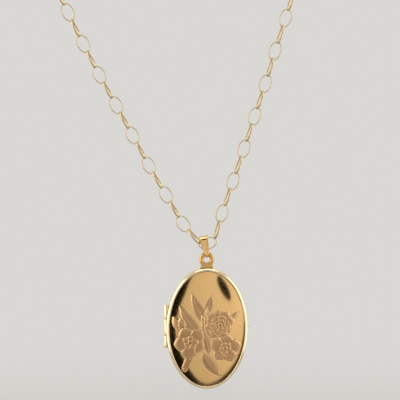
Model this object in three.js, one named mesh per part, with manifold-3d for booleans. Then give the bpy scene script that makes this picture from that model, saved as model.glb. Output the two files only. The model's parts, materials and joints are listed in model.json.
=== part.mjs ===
// A hinged oval picture locket on the two ends of its belcher chain, in millimetres, +Z up.
//
// The locket faces -Y. Its two shells close on the plane y = 0, hinge on the left and open to the front.
// It hangs from a tapered bail on one link of the chain. The chain's two strands rise to the halves of its
// clasp, which whatever wears the necklace holds, and the origin is midway between those two ends.
//
// Run with Node and the npm packages three and manifold-3d. The default export is the assembly.

import * as THREE from 'three';
import { mergeVertices } from 'three/addons/utils/BufferGeometryUtils.js';
import Module from 'manifold-3d';

const wasm = await Module();
wasm.setup();

// ---------------------------------------------------------------- driving dimensions

const CASE_HALF_WIDTH = 10.3; // the oval outline's half axes, at the rims
const CASE_HALF_HEIGHT = 15.3;
const PARTING_GAP = 0.05; // each rim stands this far off the closing plane
const RUNNING_GAP = 0.05; // between pieces that slide or are soldered face to face

const RIM_DEPTH = 1.6; // from the closing plane to the crest of the bead
const RIM_WALL = 0.5;
const RIM_FACE = 0.8; // the bead's width seen from the front
const BEAD_GROOVE = 0.22; // how far the bead's inner edge falls below its crest
const DOME_RISE = 1.6; // the plate's crown above its own edge
const DOME_SHEET = 0.3;
const DOME_ROUNDNESS = 2.3; // exponent of the crown's profile: 2 is a parabola, more is flatter

const LIP_SHEET = 0.3; // the bearer that the front shell snaps over
const LIP_STANDS = 0.4; // how far it stands past the closing plane

const FRAME_WIDTH = 1.4; // picture frames
const FRAME_THICK = 0.3;
const WINDOW_THICK = 0.15;
const CARD_THICK = 0.15;

const HINGE_RADIUS = 0.6;
const HINGE_BORE = 0.32;
const HINGE_PIN = HINGE_BORE - RUNNING_GAP;
const HINGE_OUTBOARD = 0.15; // the axis lies this far inside the outline
const HINGE_TOP = 6.0;
const UPPER_KNUCKLE = 3.5;
const MIDDLE_KNUCKLE = 4.25;
const LOWER_KNUCKLE = 3.0;

const NIB_RADIUS = 0.33;
const NIB_HEIGHT = 0.7;
const NIB_DEPTH = 0.75;

const EYE_WIRE = 0.46; // radius of the ring's wire
const EYE_RADIUS = 1.35; // radius of its centre line
const EYE_STANDS = 2.1; // its centre over the top of the case
const EYE_FOOT_WIDTH = 3.4;
const EYE_FOOT_DEPTH = 0.9;
const EYE_FOOT_STANDS = 0.9; // the foot's top over the top of the case

const BAIL_STRIP = 0.22;
const BAIL_TOP_WIDTH = 2.1;
const BAIL_FOOT_WIDTH = 0.7;
const BAIL_TOP_BEND = 1.05; // inner radii of the strip's two bends
const BAIL_FOOT_BEND = 0.7;
const BAIL_LENGTH = 3.45; // between the centres of those bends
const BAIL_LEAN = THREE.MathUtils.degToRad(11);
const BAIL_SEAT = 0.11; // the top bend's inner face over the highest point of its link
const BAIL_ASIDE = 0.858; // how far left of the link's centre the top bend sits

const LINK_LENGTH = 4.8;
const LINK_WIDTH = 3.15;
const LINK_WIRE = 0.27;
const LINK_BAND = 0.5; // the wire's width across the link's plane
const BAIL_LINK_CENTRE = [8.5, -70.9];
const BAIL_LINK_TILT = THREE.MathUtils.degToRad(10); // the steeper strand holds its right end higher

const CHAIN_DIAMETER = 3;
const RING_WIRE = 0.25; // the round rings at the chain's ends
const RING_RADIUS = 1.35;

const CLASP_RADIUS = 2.35; // centre line of the bolt ring's tube
const CLASP_TUBE = 0.6;
const CLASP_BORE = 0.42;
const CLASP_BOLT = CLASP_BORE - 0.06;
const CLASP_MOUTH = THREE.MathUtils.degToRad(60);
const CLASP_BOLT_INSIDE = THREE.MathUtils.degToRad(50);
const CLASP_TIP_INSIDE = THREE.MathUtils.degToRad(5);
const CLASP_STROKE = THREE.MathUtils.degToRad(28);
const CLASP_SLOT = 0.36;
const TRIGGER_RADIUS = 0.13;
const TRIGGER_STANDS = 0.5; // above the tube
const CLASP_EYE_RADIUS = 0.72;
const CLASP_EYE_WIRE = 0.2;
const SPRING_WIRE = 0.07;
const SPRING_TURNS = 6;

const TAG_LENGTH = 6.2; // the flat tab that the bolt ring closes on
const TAG_WIDTH = 2.6;
const TAG_WIRE = 0.5;

// The chain's two strands, from the point midway between their ends, in the plane y = 0: [x, z].
const LEFT_STRAND = [
  [5.1, -69.25], [2.3, -65.9], [0.15, -62.3], [-1.9, -58.75], [-4.05, -55.1], [-6.15, -51.4],
  [-8.15, -47.7], [-10.15, -44], [-12.15, -40.3], [-14.15, -36.6], [-16.25, -32.8], [-18.3, -29],
  [-20.25, -25.25], [-22.15, -21.5], [-24.05, -17.65], [-25.9, -13.75], [-27.8, -9.9], [-30.3, -5],
];
const RIGHT_STRAND = [
  [10.95, -67.5], [11.55, -65.4], [12.45, -62.4], [13.7, -58.8], [15.05, -55], [16.35, -51],
  [17.7, -47], [19, -43], [20.35, -39], [21.7, -34.9], [23, -30.9], [24.25, -26.8],
  [25.5, -22.6], [26.8, -18.5], [28.1, -14.4], [29.45, -10.2], [31, -5.4],
];

const ROUND = 48; // segments round the case

// ---------------------------------------------------------------- finishes

const polishedGold = new THREE.MeshStandardMaterial({ color: 0xd2aa6e, roughness: 0.15, metalness: 1 });
const chainGold = new THREE.MeshStandardMaterial({ color: 0xc8b48c, roughness: 0.25, metalness: 1 });
const springSteel = new THREE.MeshStandardMaterial({ color: 0x9a9a98, roughness: 0.35, metalness: 1 });
const clearSheet = new THREE.MeshStandardMaterial({ color: 0xeef2f2, roughness: 0.05 });
clearSheet.transparent = true;
clearSheet.opacity = 0.3;
const cardPaper = new THREE.MeshStandardMaterial({ color: 0xe9e1d0, roughness: 0.9 });

// ---------------------------------------------------------------- helpers

// Position only, with shared vertices merged, without empty triangles and with its faces pointing out.
function closed(geometry) {
  const plain = geometry.index ? geometry.toNonIndexed() : geometry.clone();
  plain.deleteAttribute('normal');
  plain.deleteAttribute('uv');
  const merged = mergeVertices(plain, 1e-4);
  const kept = [];
  const index = merged.index.array;
  for (let i = 0; i < index.length; i += 3) {
    const [a, b, c] = [index[i], index[i + 1], index[i + 2]];
    if (a !== b && b !== c && c !== a) kept.push(a, b, c);
  }
  merged.setIndex(signedVolume(merged.attributes.position, kept) < 0 ? kept.reverse() : kept);
  return merged;
}

function signedVolume(position, index) {
  const corners = [new THREE.Vector3(), new THREE.Vector3(), new THREE.Vector3()];
  let sum = 0;
  for (let i = 0; i < index.length; i += 3) {
    corners.forEach((corner, k) => corner.fromBufferAttribute(position, index[i + k]));
    sum += corners[0].dot(corners[1].clone().cross(corners[2]));
  }
  return sum;
}

function toManifold(geometry) {
  const shape = closed(geometry);
  return new wasm.Manifold(new wasm.Mesh({
    numProp: 3,
    vertProperties: new Float32Array(shape.attributes.position.array),
    triVerts: new Uint32Array(shape.index.array),
  }));
}

function fromManifold(body) {
  const mesh = body.getMesh();
  const geometry = new THREE.BufferGeometry();
  geometry.setAttribute('position', new THREE.BufferAttribute(new Float32Array(mesh.vertProperties), 3));
  geometry.setIndex([...mesh.triVerts]);
  return geometry;
}

function cutBy(geometry, ...tools) {
  return fromManifold(tools.reduce((body, tool) => body.subtract(toManifold(tool)), toManifold(geometry)));
}

function joined(geometry, ...others) {
  return fromManifold(others.reduce((body, other) => body.add(toManifold(other)), toManifold(geometry)));
}

function piece(name, geometry, material) {
  const mesh = new THREE.Mesh(closed(geometry), material);
  mesh.name = name;
  return mesh;
}

// A profile of [inset from the outline, y] points turned round the case's oval.
// Near the outline the inset is the same all round. Further in, it closes evenly on the centre.
function ovalTurned(profile, band = 2.4) {
  const points = profile.map(([inset, y]) => new THREE.Vector2(CASE_HALF_HEIGHT - inset, y));
  const geometry = new THREE.LatheGeometry(points, ROUND);
  const position = geometry.attributes.position;
  for (let i = 0; i < position.count; i += 1) {
    const radius = Math.hypot(position.getX(i), position.getZ(i));
    if (radius < 1e-6) continue;
    const inset = CASE_HALF_HEIGHT - radius;
    const share = (CASE_HALF_WIDTH - band) / (CASE_HALF_HEIGHT - band);
    const across = inset < band ? CASE_HALF_WIDTH - inset : radius * share;
    position.setX(i, position.getX(i) * across / radius);
  }
  return geometry;
}

// A flat oval sheet or ring between two y values, its outer edge at one inset and its hole at another.
function ovalSheet(outerInset, innerInset, yLow, yHigh) {
  const inner = innerInset === null ? CASE_HALF_HEIGHT : innerInset;
  const profile = [[inner, yLow], [outerInset, yLow], [outerInset, yHigh], [inner, yHigh]];
  if (innerInset !== null) profile.push([inner, yLow]);
  return ovalTurned(profile);
}

// The same profile for the back shell: every y turned to the other side.
function mirrored(profile) {
  return profile.map(([inset, y]) => [inset, -y]);
}

function rodAlongZ(radius, low, high, x, y, sides = 20) {
  const rod = new THREE.CylinderGeometry(radius, radius, high - low, sides);
  rod.rotateX(Math.PI / 2);
  rod.translate(x, y, (low + high) / 2);
  return rod;
}

// A ring of round wire in the plane y = 0.
function wireRing(radius, wire, x, z, around = 28, section = 8) {
  const ring = new THREE.TorusGeometry(radius, wire, section, around);
  ring.rotateX(Math.PI / 2);
  ring.translate(x, 0, z);
  return ring;
}

function ellipseShape(halfLength, halfWidth, holeLength, holeWidth) {
  const shape = new THREE.Shape();
  shape.absellipse(0, 0, halfLength, halfWidth, 0, Math.PI * 2);
  const hole = new THREE.Path();
  hole.absellipse(0, 0, holeLength, holeWidth, 0, Math.PI * 2);
  shape.holes.push(hole);
  return shape;
}

// An oval ring of flat wire: long axis along X, band across Y, centred on the origin.
function flatLink(length, width, wire, band) {
  const shape = ellipseShape(length / 2, width / 2, length / 2 - wire, width / 2 - wire);
  const link = new THREE.ExtrudeGeometry(shape, { depth: band, bevelEnabled: false, curveSegments: 18 });
  link.translate(0, 0, -band / 2);
  link.rotateX(Math.PI / 2);
  return link;
}

// ---------------------------------------------------------------- the two shells

// The struck plate's outer face, from its edge to the crown: how far it stands from the closing plane.
const DOME_EDGE_INSET = RIM_FACE + RUNNING_GAP;
const DOME_EDGE_DEPTH = RIM_DEPTH - 0.1;
const SHELF_DEPTH = RIM_DEPTH - BEAD_GROOVE - DOME_SHEET / 2;

function domeDepth(inset, edgeDepth, rise) {
  const share = (CASE_HALF_HEIGHT - inset) / (CASE_HALF_HEIGHT - DOME_EDGE_INSET);
  return edgeDepth + rise * (1 - share ** DOME_ROUNDNESS);
}

// Front shell profiles have negative y, since the front faces -Y.
function domeProfile() {
  const outer = [];
  const inner = [];
  const steps = [1, 0.95, 0.86, 0.72, 0.52, 0.28, 0];
  for (const share of steps) {
    const inset = CASE_HALF_HEIGHT - share * (CASE_HALF_HEIGHT - DOME_EDGE_INSET);
    outer.push([inset, -domeDepth(inset, DOME_EDGE_DEPTH, DOME_RISE)]);
    inner.push([inset, -domeDepth(inset, SHELF_DEPTH, DOME_RISE + DOME_EDGE_DEPTH - SHELF_DEPTH - DOME_SHEET)]);
  }
  return [...inner.reverse(), ...outer];
}

function rimProfile() {
  return [
    [RIM_WALL, -PARTING_GAP],
    [0.06, -PARTING_GAP],
    [0, -PARTING_GAP - 0.08],
    [0, -RIM_DEPTH + 0.5],
    [0.06, -RIM_DEPTH + 0.24],
    [0.2, -RIM_DEPTH + 0.07],
    [0.4, -RIM_DEPTH],
    [0.6, -RIM_DEPTH + 0.06],
    [RIM_FACE, -RIM_DEPTH + BEAD_GROOVE],
    [RIM_FACE, -SHELF_DEPTH],
    [RIM_WALL, -SHELF_DEPTH],
    [RIM_WALL, -PARTING_GAP],
  ];
}

const HINGE_X = -(CASE_HALF_WIDTH - HINGE_OUTBOARD);
const HINGE_FOOT = HINGE_TOP - UPPER_KNUCKLE - MIDDLE_KNUCKLE - LOWER_KNUCKLE;

// The channel for the hinge, filed into both rims and the bearer.
function hingeChannel() {
  const radius = HINGE_RADIUS + RUNNING_GAP;
  return rodAlongZ(radius, HINGE_FOOT - RUNNING_GAP, HINGE_TOP + RUNNING_GAP, HINGE_X, 0, 28);
}

function knuckle(low, high) {
  const profile = [
    [HINGE_BORE, low], [HINGE_RADIUS, low], [HINGE_RADIUS, high], [HINGE_BORE, high], [HINGE_BORE, low],
  ].map(([radius, z]) => new THREE.Vector2(radius, z));
  const tube = new THREE.LatheGeometry(profile, 24);
  tube.rotateX(Math.PI / 2);
  tube.translate(HINGE_X, 0, 0);
  return tube;
}

function hingePin() {
  return rodAlongZ(HINGE_PIN, HINGE_FOOT, HINGE_TOP, HINGE_X, 0, 16);
}

const nibCentre = new THREE.Vector3(CASE_HALF_WIDTH + NIB_RADIUS * 0.35, -NIB_DEPTH, NIB_HEIGHT);

function nibBall(radius) {
  const ball = new THREE.SphereGeometry(radius, 12, 8);
  ball.translate(nibCentre.x, nibCentre.y, nibCentre.z);
  return ball;
}

// The inner side of each half: a card on the rim's shelf, then a clear window and the frame that holds both in.
// side is -1 for the front half and 1 for the back half.
function pictureStack(name, side, outerInset) {
  const cardDepth = SHELF_DEPTH - RUNNING_GAP - CARD_THICK;
  const windowDepth = cardDepth - RUNNING_GAP - WINDOW_THICK;
  const frameDepth = windowDepth - RUNNING_GAP - FRAME_THICK;
  const sheet = (inset, hole, depth, thick) => {
    const ends = [side * depth, side * (depth + thick)].sort((a, b) => a - b);
    return ovalSheet(inset, hole, ...ends);
  };
  const frameInset = outerInset + FRAME_WIDTH;
  return [
    piece(`${name}_picture_frame`, sheet(outerInset, frameInset, frameDepth, FRAME_THICK), polishedGold),
    piece(`${name}_window`, sheet(outerInset, null, windowDepth, WINDOW_THICK), clearSheet),
    piece(`${name}_picture_card`, sheet(outerInset, null, cardDepth, CARD_THICK), cardPaper),
  ];
}

function frontHalf() {
  const half = new THREE.Group();
  const rim = cutBy(ovalTurned(rimProfile()), hingeChannel(), nibBall(NIB_RADIUS + RUNNING_GAP));
  half.add(piece('front_rim', rim, polishedGold));
  half.add(piece('front_cover', ovalTurned(domeProfile()), polishedGold));
  half.add(piece('opening_nib', nibBall(NIB_RADIUS), polishedGold));
  const middle = HINGE_TOP - UPPER_KNUCKLE;
  half.add(piece('hinge_knuckle_middle',
    knuckle(middle - MIDDLE_KNUCKLE + RUNNING_GAP, middle - RUNNING_GAP), polishedGold));
  half.add(...pictureStack('front', -1, RIM_WALL + RUNNING_GAP));
  return half;
}

function backHalf() {
  const half = new THREE.Group();
  const channel = hingeChannel();
  half.add(piece('back_rim', cutBy(ovalTurned(mirrored(rimProfile())), channel), polishedGold));
  half.add(piece('back_cover', ovalTurned(mirrored(domeProfile())), polishedGold));
  const lipOuter = RIM_WALL + RUNNING_GAP;
  const lipInner = lipOuter + LIP_SHEET;
  const lip = ovalSheet(lipOuter, lipInner, -LIP_STANDS, SHELF_DEPTH - RUNNING_GAP);
  half.add(piece('snap_lip', cutBy(lip, channel), polishedGold));
  half.add(piece('hinge_knuckle_upper', knuckle(HINGE_TOP - UPPER_KNUCKLE, HINGE_TOP), polishedGold));
  half.add(piece('hinge_knuckle_lower', knuckle(HINGE_FOOT, HINGE_FOOT + LOWER_KNUCKLE), polishedGold));
  half.add(piece('hinge_pin', hingePin(), polishedGold));
  half.add(...pictureStack('back', 1, lipInner + RUNNING_GAP));
  half.add(piece('pendant_eye', pendantEye(), polishedGold));
  return half;
}

// The ring on top of the back rim, standing on a foot whose underside follows the outline.
function pendantEye() {
  const ring = wireRing(EYE_RADIUS, EYE_WIRE, 0, CASE_HALF_HEIGHT + EYE_STANDS, 28, 10);
  const footLow = CASE_HALF_HEIGHT - 0.6;
  const footTop = CASE_HALF_HEIGHT + EYE_FOOT_STANDS;
  const foot = new THREE.BoxGeometry(EYE_FOOT_WIDTH, EYE_FOOT_DEPTH, footTop - footLow);
  foot.translate(0, 0, (footTop + footLow) / 2);
  return cutBy(joined(ring, foot), ovalSheet(-RUNNING_GAP, null, -2, 2));
}

// ---------------------------------------------------------------- bail and the link that carries it

// The bail is a strip bent into a closed loop: a wide bend over the chain and a narrow one through the eye.
function loopPath(path, topRadius, footRadius) {
  const flare = Math.asin((BAIL_TOP_BEND - BAIL_FOOT_BEND) / BAIL_LENGTH);
  path.absarc(0, 0, footRadius, Math.PI + flare, -flare, false);
  path.absarc(0, BAIL_LENGTH, topRadius, -flare, Math.PI + flare, false);
  path.closePath();
  return path;
}

function bailStrip() {
  const shape = loopPath(new THREE.Shape(), BAIL_TOP_BEND + BAIL_STRIP, BAIL_FOOT_BEND + BAIL_STRIP);
  shape.holes.push(loopPath(new THREE.Path(), BAIL_TOP_BEND, BAIL_FOOT_BEND));
  const strip = new THREE.ExtrudeGeometry(shape, { depth: 1, bevelEnabled: false, curveSegments: 14 });
  strip.translate(0, 0, -0.5);
  const position = strip.attributes.position;
  const low = -BAIL_FOOT_BEND - BAIL_STRIP;
  const high = BAIL_LENGTH + BAIL_TOP_BEND + BAIL_STRIP;
  for (let i = 0; i < position.count; i += 1) {
    const [y, z, x] = [position.getX(i), position.getY(i), position.getZ(i)];
    const share = (z - low) / (high - low);
    position.setXYZ(i, x * THREE.MathUtils.lerp(BAIL_FOOT_WIDTH, BAIL_TOP_WIDTH, share), y, z);
  }
  return strip;
}

// The centre of the bail's foot bend, below the link that carries it: the locket swings about this point.
const bailTopZ = BAIL_LINK_CENTRE[1] + LINK_WIDTH / 2 + BAIL_SEAT - BAIL_TOP_BEND;
const hangPoint = new THREE.Vector3(
  BAIL_LINK_CENTRE[0] - BAIL_ASIDE + BAIL_LENGTH * Math.sin(BAIL_LEAN),
  0,
  bailTopZ - BAIL_LENGTH * Math.cos(BAIL_LEAN),
);

function bailGroup() {
  const group = new THREE.Group();
  group.add(piece('bail', bailStrip(), polishedGold));
  group.position.copy(hangPoint);
  group.rotation.y = -BAIL_LEAN;
  return group;
}

function bailLink() {
  const link = piece('bail_link', flatLink(LINK_LENGTH, LINK_WIDTH, LINK_WIRE, LINK_BAND), chainGold);
  link.position.set(BAIL_LINK_CENTRE[0], 0, BAIL_LINK_CENTRE[1]);
  link.rotation.y = -BAIL_LINK_TILT;
  return link;
}

// ---------------------------------------------------------------- chain, rings and clasp

function strandCurve(route) {
  return new THREE.CatmullRomCurve3(route.map(([x, z]) => new THREE.Vector3(x, 0, z)));
}

function strandTube(route) {
  const section = new THREE.Shape();
  const radius = CHAIN_DIAMETER / 2;
  for (let side = 0; side < 8; side += 1) {
    const angle = (side / 8) * Math.PI * 2;
    const corner = [radius * Math.cos(angle), radius * Math.sin(angle)];
    if (side === 0) section.moveTo(...corner);
    else section.lineTo(...corner);
  }
  const curve = strandCurve(route);
  const steps = Math.round(curve.getLength() / (2.2 * CHAIN_DIAMETER));
  return new THREE.ExtrudeGeometry(section, { extrudePath: curve, steps, bevelEnabled: false });
}

// Where something stands that carries on from the end of a strand, so far past its last point.
function beyond(route, distance) {
  const end = strandCurve(route).getPointAt(1);
  return end.addScaledVector(strandCurve(route).getTangentAt(1), distance);
}

const STRAND_CLEARANCE = 0.3;
const RING_PAST = STRAND_CLEARANCE + RING_RADIUS + RING_WIRE;

// A round ring across the end of a strand, edge-on to the front, so that what hangs in it lies flat.
function endRing(name, route) {
  const ring = piece(name, new THREE.TorusGeometry(RING_RADIUS, RING_WIRE, 8, 28), chainGold);
  const tangent = strandCurve(route).getTangentAt(1);
  ring.position.copy(beyond(route, RING_PAST));
  ring.rotation.y = -Math.atan2(tangent.z, tangent.x);
  return ring;
}

// An arc of the bolt ring's centre line in the plane y = 0, from one angle to another.
function ringArc(from, to) {
  const arc = new THREE.Curve();
  arc.getPoint = (t) => {
    const angle = THREE.MathUtils.lerp(from, to, t);
    return new THREE.Vector3(CLASP_RADIUS * Math.cos(angle), 0, CLASP_RADIUS * Math.sin(angle));
  };
  return arc;
}

function roundSection(radius, bore = 0) {
  const shape = new THREE.Shape();
  shape.absarc(0, 0, radius, 0, Math.PI * 2);
  if (bore > 0) {
    const hole = new THREE.Path();
    hole.absarc(0, 0, bore, 0, Math.PI * 2);
    shape.holes.push(hole);
  }
  return shape;
}

function sweptArc(section, from, to, steps) {
  const options = { extrudePath: ringArc(from, to), steps, bevelEnabled: false, curveSegments: 6 };
  return new THREE.ExtrudeGeometry(section, options);
}

// Angles round the bolt ring: its mouth starts at 0 and the bolt backs into the tube after it.
const TRIGGER_ANGLE = CLASP_MOUTH + THREE.MathUtils.degToRad(9);
const TUBE_END = Math.PI * 2;
const SLOT_END = TRIGGER_ANGLE + CLASP_STROKE;

function claspTube() {
  const tube = sweptArc(roundSection(CLASP_TUBE, CLASP_BORE), CLASP_MOUTH, TUBE_END, 20);
  const half = CLASP_SLOT / 2;
  const margin = half / (CLASP_RADIUS + CLASP_TUBE);
  const slot = new THREE.Shape();
  slot.absarc(0, 0, CLASP_RADIUS + CLASP_TUBE * 2, TRIGGER_ANGLE - margin, SLOT_END + margin, false);
  slot.absarc(0, 0, CLASP_RADIUS, SLOT_END + margin, TRIGGER_ANGLE - margin, true);
  const cutter = new THREE.ExtrudeGeometry(slot, { depth: CLASP_SLOT, bevelEnabled: false, curveSegments: 8 });
  cutter.translate(0, 0, -half);
  cutter.rotateX(Math.PI / 2);
  const eyeReach = CLASP_RADIUS + CLASP_TUBE + CLASP_EYE_RADIUS + CLASP_EYE_WIRE * 0.4;
  const eye = wireRing(CLASP_EYE_RADIUS, CLASP_EYE_WIRE, 0, 0, 20, 8);
  eye.translate(eyeReach * Math.cos(CLASP_EYE_ANGLE), 0, eyeReach * Math.sin(CLASP_EYE_ANGLE));
  return joined(cutBy(tube, cutter), eye);
}

const CLASP_EYE_ANGLE = THREE.MathUtils.degToRad(215);

function claspBolt() {
  const bolt = sweptArc(roundSection(CLASP_BOLT), -CLASP_TIP_INSIDE, CLASP_MOUTH + CLASP_BOLT_INSIDE, 14);
  const height = CLASP_TUBE + TRIGGER_STANDS;
  const trigger = new THREE.CylinderGeometry(TRIGGER_RADIUS, TRIGGER_RADIUS, height, 12);
  trigger.rotateZ(-Math.PI / 2);
  trigger.translate(CLASP_RADIUS + height / 2, 0, 0);
  trigger.rotateY(-TRIGGER_ANGLE);
  return joined(bolt, trigger);
}

// A coil of fine wire that follows the ring's bore behind the bolt.
function claspSpring() {
  const from = CLASP_MOUTH + CLASP_BOLT_INSIDE + 0.03;
  const to = from + THREE.MathUtils.degToRad(72);
  const coil = new THREE.Curve();
  const radius = CLASP_BOLT - SPRING_WIRE;
  coil.getPoint = (t) => {
    const along = THREE.MathUtils.lerp(from, to, t);
    const turn = t * SPRING_TURNS * Math.PI * 2;
    const reach = CLASP_RADIUS + radius * Math.cos(turn);
    return new THREE.Vector3(reach * Math.cos(along), radius * Math.sin(turn), reach * Math.sin(along));
  };
  const section = new THREE.Shape();
  section.absarc(0, 0, SPRING_WIRE, 0, Math.PI * 2);
  const options = { extrudePath: coil, steps: SPRING_TURNS * 8, bevelEnabled: false, curveSegments: 3 };
  return new THREE.ExtrudeGeometry(section, options);
}

// The bolt ring hangs on the left end ring by its own eye.
function claspGroup() {
  const group = new THREE.Group();
  group.add(piece('clasp_tube', claspTube(), chainGold));
  group.add(piece('clasp_bolt', claspBolt(), chainGold));
  group.add(piece('clasp_spring', claspSpring(), springSteel));
  const eyeReach = CLASP_RADIUS + CLASP_TUBE + CLASP_EYE_RADIUS + CLASP_EYE_WIRE * 0.4;
  const hang = RING_PAST + RING_RADIUS - RING_WIRE - RUNNING_GAP - CLASP_EYE_WIRE + CLASP_EYE_RADIUS;
  const tangent = strandCurve(LEFT_STRAND).getTangentAt(1);
  const centre = beyond(LEFT_STRAND, hang + eyeReach);
  group.position.copy(centre);
  const back = Math.atan2(-tangent.z, -tangent.x);
  group.rotation.y = CLASP_EYE_ANGLE - back;
  return group;
}

// The tab on the right end ring: an oval loop of flat wire in line with the strand.
function tagPiece() {
  const tag = piece('clasp_tag', flatLink(TAG_LENGTH, TAG_WIDTH, TAG_WIRE, TAG_WIRE), chainGold);
  const hang = RING_PAST + RING_RADIUS - RING_WIRE - TAG_WIRE - RUNNING_GAP + TAG_LENGTH / 2;
  const tangent = strandCurve(RIGHT_STRAND).getTangentAt(1);
  tag.position.copy(beyond(RIGHT_STRAND, hang));
  tag.rotation.y = -Math.atan2(tangent.z, tangent.x);
  return tag;
}

// ---------------------------------------------------------------- assembly

// The case hangs with the top of its eye on the bail's foot bend.
function locket() {
  const group = new THREE.Group();
  group.add(backHalf());
  group.add(frontHalf());
  group.position.copy(hangPoint);
  group.position.z -= CASE_HALF_HEIGHT + EYE_STANDS + EYE_RADIUS;
  return group;
}

const necklace = new THREE.Group();
necklace.add(locket());
necklace.add(bailGroup());
necklace.add(bailLink());
necklace.add(piece('chain_left', strandTube(LEFT_STRAND), chainGold));
necklace.add(piece('chain_right', strandTube(RIGHT_STRAND), chainGold));
necklace.add(endRing('end_ring_left', LEFT_STRAND));
necklace.add(endRing('end_ring_right', RIGHT_STRAND));
necklace.add(claspGroup());
necklace.add(tagPiece());

export default necklace;
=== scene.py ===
# %% [markdown]
# An oval picture locket on its chain
#
# This lesson gives a jewellery model its finished surfaces. The mechanical model already fixes every
# size, hinge and clearance, and it is loaded here as a frame that never moves. Each step then makes one
# piece of the real locket at full quality in the place that the frame gives, and says which plain solid
# it stands for.

# %% Load the frame
import json
import math

import bpy
import numpy as np
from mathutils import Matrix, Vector


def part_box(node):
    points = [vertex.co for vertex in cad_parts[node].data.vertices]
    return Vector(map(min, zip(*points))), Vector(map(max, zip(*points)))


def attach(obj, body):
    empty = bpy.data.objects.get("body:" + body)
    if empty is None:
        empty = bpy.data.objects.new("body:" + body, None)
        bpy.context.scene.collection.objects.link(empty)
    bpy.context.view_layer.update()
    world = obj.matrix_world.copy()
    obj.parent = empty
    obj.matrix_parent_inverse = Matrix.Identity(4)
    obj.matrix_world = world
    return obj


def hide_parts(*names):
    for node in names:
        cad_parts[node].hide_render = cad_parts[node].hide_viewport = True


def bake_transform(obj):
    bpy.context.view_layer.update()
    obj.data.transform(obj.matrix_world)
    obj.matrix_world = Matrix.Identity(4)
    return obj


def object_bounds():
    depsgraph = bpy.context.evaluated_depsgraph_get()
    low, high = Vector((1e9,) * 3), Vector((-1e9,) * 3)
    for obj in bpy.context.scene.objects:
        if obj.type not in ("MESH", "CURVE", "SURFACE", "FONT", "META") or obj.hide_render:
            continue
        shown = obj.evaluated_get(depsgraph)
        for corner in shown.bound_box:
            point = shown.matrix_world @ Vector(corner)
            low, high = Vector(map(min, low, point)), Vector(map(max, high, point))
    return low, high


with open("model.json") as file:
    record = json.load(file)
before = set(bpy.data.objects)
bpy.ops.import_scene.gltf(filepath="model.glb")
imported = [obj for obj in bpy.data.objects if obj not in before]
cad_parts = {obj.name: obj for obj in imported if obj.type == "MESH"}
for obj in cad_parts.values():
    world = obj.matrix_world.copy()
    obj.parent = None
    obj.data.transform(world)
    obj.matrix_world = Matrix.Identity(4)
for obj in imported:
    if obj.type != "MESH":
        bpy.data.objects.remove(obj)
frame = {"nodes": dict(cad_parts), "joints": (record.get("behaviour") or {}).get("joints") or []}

cad_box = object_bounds()
MM = 0.001
print("CAD box in mm:", [[round(v / MM, 2) for v in corner] for corner in cad_box])

# %% [markdown]
# The sizes of the locket come from its own solids. The rims give the oval outline, and the front and back
# covers stand the same distance off the closing plane, y = 0. Everything else is measured from the case's
# centre, so a helper turns millimetres from that centre into the frame's metres.

# %% Measure the case
rim_low, rim_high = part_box("front_rim")
CASE_CENTRE = Vector(((rim_low[0] + rim_high[0]) / 2, 0, (rim_low[2] + rim_high[2]) / 2))
HALF_WIDTH = (rim_high[0] - rim_low[0]) / 2 / MM
HALF_HEIGHT = (rim_high[2] - rim_low[2]) / 2 / MM
RIM_DEPTH = -rim_low[1] / MM
CROWN_DEPTH = -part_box("front_cover")[0][1] / MM
PLATE_INSET = HALF_WIDTH - (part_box("front_cover")[1][0] - CASE_CENTRE.x) / MM
SHELF_DEPTH = -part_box("front_cover")[1][1] / MM
PLATE_EDGE_DEPTH = RIM_DEPTH - 0.1
print(f"case {2 * HALF_WIDTH:.1f} by {2 * HALF_HEIGHT:.1f} mm, crown {CROWN_DEPTH:.2f} mm off the closing plane")


# %% [markdown]
# The camera looks at the front from a little to the hinge side and a little above, so that the side wall
# and its hinge just show. It frames about 100 mm. The chain runs up past the top of the picture.

# %% Camera
VIEW_WIDTH = 100 * MM
LENS, SENSOR = 110, 36
AZIMUTH, ELEVATION = math.radians(-5), math.radians(4)
aim = CASE_CENTRE + Vector((-1.7, 0, 32.35)) * MM
level = math.cos(ELEVATION)
back = Vector((math.sin(AZIMUTH) * level, -math.cos(AZIMUTH) * level, math.sin(ELEVATION)))
camera_data = bpy.data.cameras.new("camera")
camera_data.lens = LENS
camera_data.sensor_width = SENSOR
camera = bpy.data.objects.new("camera", camera_data)
bpy.context.scene.collection.objects.link(camera)
camera.location = aim + back * VIEW_WIDTH * LENS / SENSOR
camera.rotation_euler = (-back).to_track_quat("-Z", "Y").to_euler()
camera_data.clip_start, camera_data.clip_end = 0.01, 10
bpy.context.scene.camera = camera
print("camera", [round(v, 3) for v in camera.location])

# %% [markdown]
# Small helpers do the shaping. An operator acts on all that is selected, so each helper clears the
# selection first. The main one, skin, wraps a flat grid into a closed shape, as sheet metal is wrapped: a
# link, the bail and a bent rod are all a section carried along a path. Another spins a profile, as a
# lathe does. The last one files a piece under its body and the solids that it stands for.

# %% Helpers for shapes
def only(obj):
    bpy.ops.object.select_all(action="DESELECT")
    obj.select_set(True)
    bpy.context.view_layer.objects.active = obj


def edit(obj, *steps):
    """Runs edit-mode operators on the whole of one object."""
    only(obj)
    bpy.ops.object.mode_set(mode="EDIT")
    bpy.ops.mesh.select_all(action="SELECT")
    for step in steps:
        step()
    bpy.ops.object.mode_set(mode="OBJECT")


def get_points(obj):
    points = np.empty(len(obj.data.vertices) * 3)
    obj.data.vertices.foreach_get("co", points)
    return points.reshape(-1, 3)


def set_points(obj, points):
    obj.data.vertices.foreach_set("co", np.asarray(points, float).ravel())
    obj.data.update()


def face_outward_step():
    bpy.ops.mesh.normals_make_consistent(inside=False)


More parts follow.
